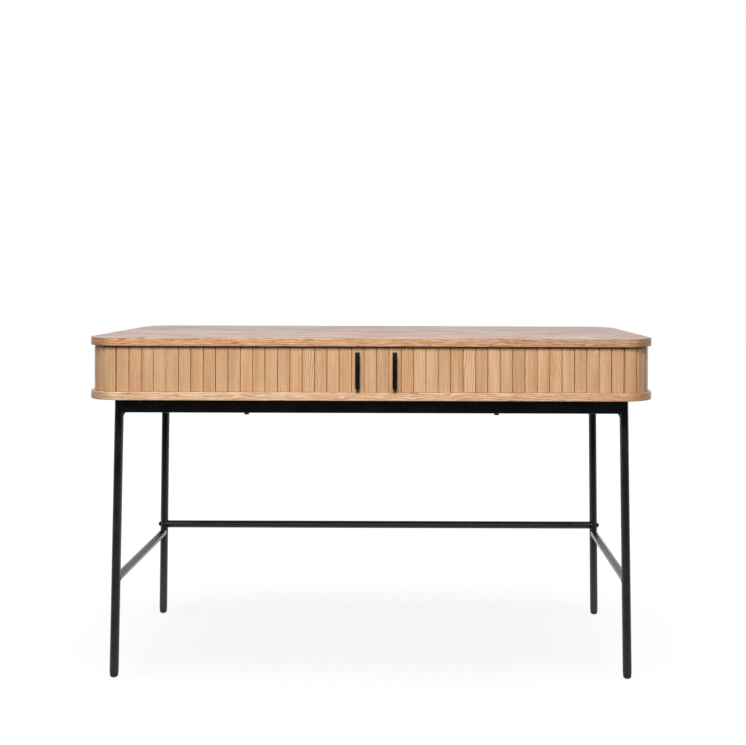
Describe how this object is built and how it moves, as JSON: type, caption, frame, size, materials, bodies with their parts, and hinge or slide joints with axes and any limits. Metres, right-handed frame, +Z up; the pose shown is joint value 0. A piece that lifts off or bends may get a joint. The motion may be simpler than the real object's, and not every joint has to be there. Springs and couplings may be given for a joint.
{
  "type": "desk",
  "caption": "Oak writing desk with round corners, storage under the top behind slatted tambour doors, and a black steel tube frame.",
  "frame": {"origin": "on the floor, under the middle of the desk's box, with the handles counted", "axes": "+X along the desk to a sitter's right, +Y to the back, +Z up"},
  "size_m": [1.25, 0.61, 0.764],
  "materials": {
    "board_oak": "satin lacquered oak veneer",
    "slat_oak": "satin lacquered oak",
    "panel_oak": "satin lacquered oak veneer",
    "canvas": "plain woven cloth",
    "black_steel": "satin black powder coat",
    "bare_steel": "plain zinc-plated steel",
    "foot_plastic": "matt black plastic"
  },
  "bodies": {
    "desk": {"top_board": "board_oak", "base_board": "board_oak", "left_side_panel": "panel_oak", "right_side_panel": "panel_oak", "back_panel": "panel_oak", "centre_divider": "panel_oak", "front_left_leg": "black_steel", "front_right_leg": "black_steel", "rear_left_leg": "black_steel", "rear_right_leg": "black_steel", "front_rail": "black_steel", "rear_rail": "black_steel", "left_rail": "black_steel", "right_rail": "black_steel", "left_stretcher": "black_steel", "right_stretcher": "black_steel", "rear_stretcher": "black_steel", "stretcher_plugs": "bare_steel", "stretcher_bolts": "black_steel", "corner_gussets": "black_steel", "frame_bolts": "black_steel", "threaded_inserts": "bare_steel", "foot_caps": "foot_plastic"},
    "left_door": {"left_lead_slats": "slat_oak", "left_lead_canvas": "canvas", "left_handle": "black_steel", "left_handle_screws": "bare_steel"},
    "left_turn_1_slats": {"left_turn_slats_1": "slat_oak", "left_turn_canvas_1": "canvas"},
    "left_turn_2_slats": {"left_turn_slats_2": "slat_oak", "left_turn_canvas_2": "canvas"},
    "left_turn_3_slats": {"left_turn_slats_3": "slat_oak", "left_turn_canvas_3": "canvas"},
    "left_roll_slats": {"left_roll_slats": "slat_oak", "left_roll_canvas": "canvas"},
    "left_tail_1_slats": {"left_tail_slats_1": "slat_oak", "left_tail_canvas_1": "canvas"},
    "left_tail_2_slats": {"left_tail_slats_2": "slat_oak", "left_tail_canvas_2": "canvas"},
    "left_tail_3_slats": {"left_tail_slats_3": "slat_oak", "left_tail_canvas_3": "canvas"},
    "right_door": {"right_lead_slats": "slat_oak", "right_lead_canvas": "canvas", "right_handle": "black_steel", "right_handle_screws": "bare_steel"},
    "right_turn_1_slats": {"right_turn_slats_1": "slat_oak", "right_turn_canvas_1": "canvas"},
    "right_turn_2_slats": {"right_turn_slats_2": "slat_oak", "right_turn_canvas_2": "canvas"},
    "right_turn_3_slats": {"right_turn_slats_3": "slat_oak", "right_turn_canvas_3": "canvas"},
    "right_roll_slats": {"right_roll_slats": "slat_oak", "right_roll_canvas": "canvas"},
    "right_tail_1_slats": {"right_tail_slats_1": "slat_oak", "right_tail_canvas_1": "canvas"},
    "right_tail_2_slats": {"right_tail_slats_2": "slat_oak", "right_tail_canvas_2": "canvas"},
    "right_tail_3_slats": {"right_tail_slats_3": "slat_oak", "right_tail_canvas_3": "canvas"}
  },
  "joints": [
    {"name": "left_door_slide", "type": "slide", "parent": "desk", "child": "left_door", "axis": [-1, 0, 0], "range_m": [0, 0.432], "deforming": ["left_turn_slats_1", "left_turn_canvas_1", "left_turn_slats_2", "left_turn_canvas_2", "left_turn_slats_3", "left_turn_canvas_3", "left_roll_slats", "left_roll_canvas", "left_tail_slats_1", "left_tail_canvas_1", "left_tail_slats_2", "left_tail_canvas_2", "left_tail_slats_3", "left_tail_canvas_3"]},
    {"name": "left_turn_1_run", "type": "hinge", "parent": "desk", "child": "left_turn_1_slats", "pos_m": [-0.344, 1.44028, 0.646], "axis": [0, 0, 1], "range_deg": [-14.34, 0]},
    {"name": "left_turn_2_run", "type": "hinge", "parent": "desk", "child": "left_turn_2_slats", "pos_m": [-0.3575, 0.28698, 0.646], "axis": [0, 0, 1], "range_deg": [-41.97, 0]},
    {"name": "left_turn_3_run", "type": "hinge", "parent": "desk", "child": "left_turn_3_slats", "pos_m": [-0.371, 0.03899, 0.646], "axis": [0, 0, 1], "range_deg": [-69.59, 0]},
    {"name": "left_roll_run", "type": "hinge", "parent": "desk", "child": "left_roll_slats", "pos_m": [-0.38098, -0.05098, 0.646], "axis": [0, 0, 1], "range_deg": [-90.02, 0]},
    {"name": "left_tail_1_run", "type": "hinge", "parent": "desk", "child": "left_tail_1_slats", "pos_m": [-0.32253, -0.04398, 0.646], "axis": [0, 0, 1], "range_deg": [-75.7, 0]},
    {"name": "left_tail_2_run", "type": "hinge", "parent": "desk", "child": "left_tail_2_slats", "pos_m": [-0.12112, -0.03048, 0.646], "axis": [0, 0, 1], "range_deg": [-48.07, 0]},
    {"name": "left_tail_3_run", "type": "hinge", "parent": "desk", "child": "left_tail_3_slats", "pos_m": [0.59048, -0.01698, 0.646], "axis": [0, 0, 1], "range_deg": [-20.45, 0]},
    {"name": "right_door_slide", "type": "slide", "parent": "desk", "child": "right_door", "axis": [1, 0, 0], "range_m": [0, 0.432], "deforming": ["right_turn_slats_1", "right_turn_canvas_1", "right_turn_slats_2", "right_turn_canvas_2", "right_turn_slats_3", "right_turn_canvas_3", "right_roll_slats", "right_roll_canvas", "right_tail_slats_1", "right_tail_canvas_1", "right_tail_slats_2", "right_tail_canvas_2", "right_tail_slats_3", "right_tail_canvas_3"]},
    {"name": "right_turn_1_run", "type": "hinge", "parent": "desk", "child": "right_turn_1_slats", "pos_m": [0.344, 1.44028, 0.646], "axis": [0, 0, 1], "range_deg": [0, 14.34]},
    {"name": "right_turn_2_run", "type": "hinge", "parent": "desk", "child": "right_turn_2_slats", "pos_m": [0.3575, 0.28698, 0.646], "axis": [0, 0, 1], "range_deg": [0, 41.97]},
    {"name": "right_turn_3_run", "type": "hinge", "parent": "desk", "child": "right_turn_3_slats", "pos_m": [0.371, 0.03899, 0.646], "axis": [0, 0, 1], "range_deg": [0, 69.59]},
    {"name": "right_roll_run", "type": "hinge", "parent": "desk", "child": "right_roll_slats", "pos_m": [0.38098, -0.05098, 0.646], "axis": [0, 0, 1], "range_deg": [0, 90.02]},
    {"name": "right_tail_1_run", "type": "hinge", "parent": "desk", "child": "right_tail_1_slats", "pos_m": [0.32253, -0.04398, 0.646], "axis": [0, 0, 1], "range_deg": [0, 75.7]},
    {"name": "right_tail_2_run", "type": "hinge", "parent": "desk", "child": "right_tail_2_slats", "pos_m": [0.12112, -0.03048, 0.646], "axis": [0, 0, 1], "range_deg": [0, 48.07]},
    {"name": "right_tail_3_run", "type": "hinge", "parent": "desk", "child": "right_tail_3_slats", "pos_m": [-0.59048, -0.01698, 0.646], "axis": [0, 0, 1], "range_deg": [0, 20.45]}
  ],
  "couplings": [
    {"joint": "left_turn_1_run", "follows": "left_door_slide", "rad_per_m": -0.5787},
    {"joint": "left_turn_2_run", "follows": "left_door_slide", "rad_per_m": -1.6948},
    {"joint": "left_turn_3_run", "follows": "left_door_slide", "rad_per_m": -2.8108},
    {"joint": "left_roll_run", "follows": "left_door_slide", "rad_per_m": -3.6361},
    {"joint": "left_tail_1_run", "follows": "left_door_slide", "rad_per_m": -3.0574},
    {"joint": "left_tail_2_run", "follows": "left_door_slide", "rad_per_m": -1.9413},
    {"joint": "left_tail_3_run", "follows": "left_door_slide", "rad_per_m": -0.82526},
    {"joint": "right_turn_1_run", "follows": "right_door_slide", "rad_per_m": 0.5787},
    {"joint": "right_turn_2_run", "follows": "right_door_slide", "rad_per_m": 1.6948},
    {"joint": "right_turn_3_run", "follows": "right_door_slide", "rad_per_m": 2.8108},
    {"joint": "right_roll_run", "follows": "right_door_slide", "rad_per_m": 3.6361},
    {"joint": "right_tail_1_run", "follows": "right_door_slide", "rad_per_m": 3.0574},
    {"joint": "right_tail_2_run", "follows": "right_door_slide", "rad_per_m": 1.9413},
    {"joint": "right_tail_3_run", "follows": "right_door_slide", "rad_per_m": 0.82526}
  ]
}
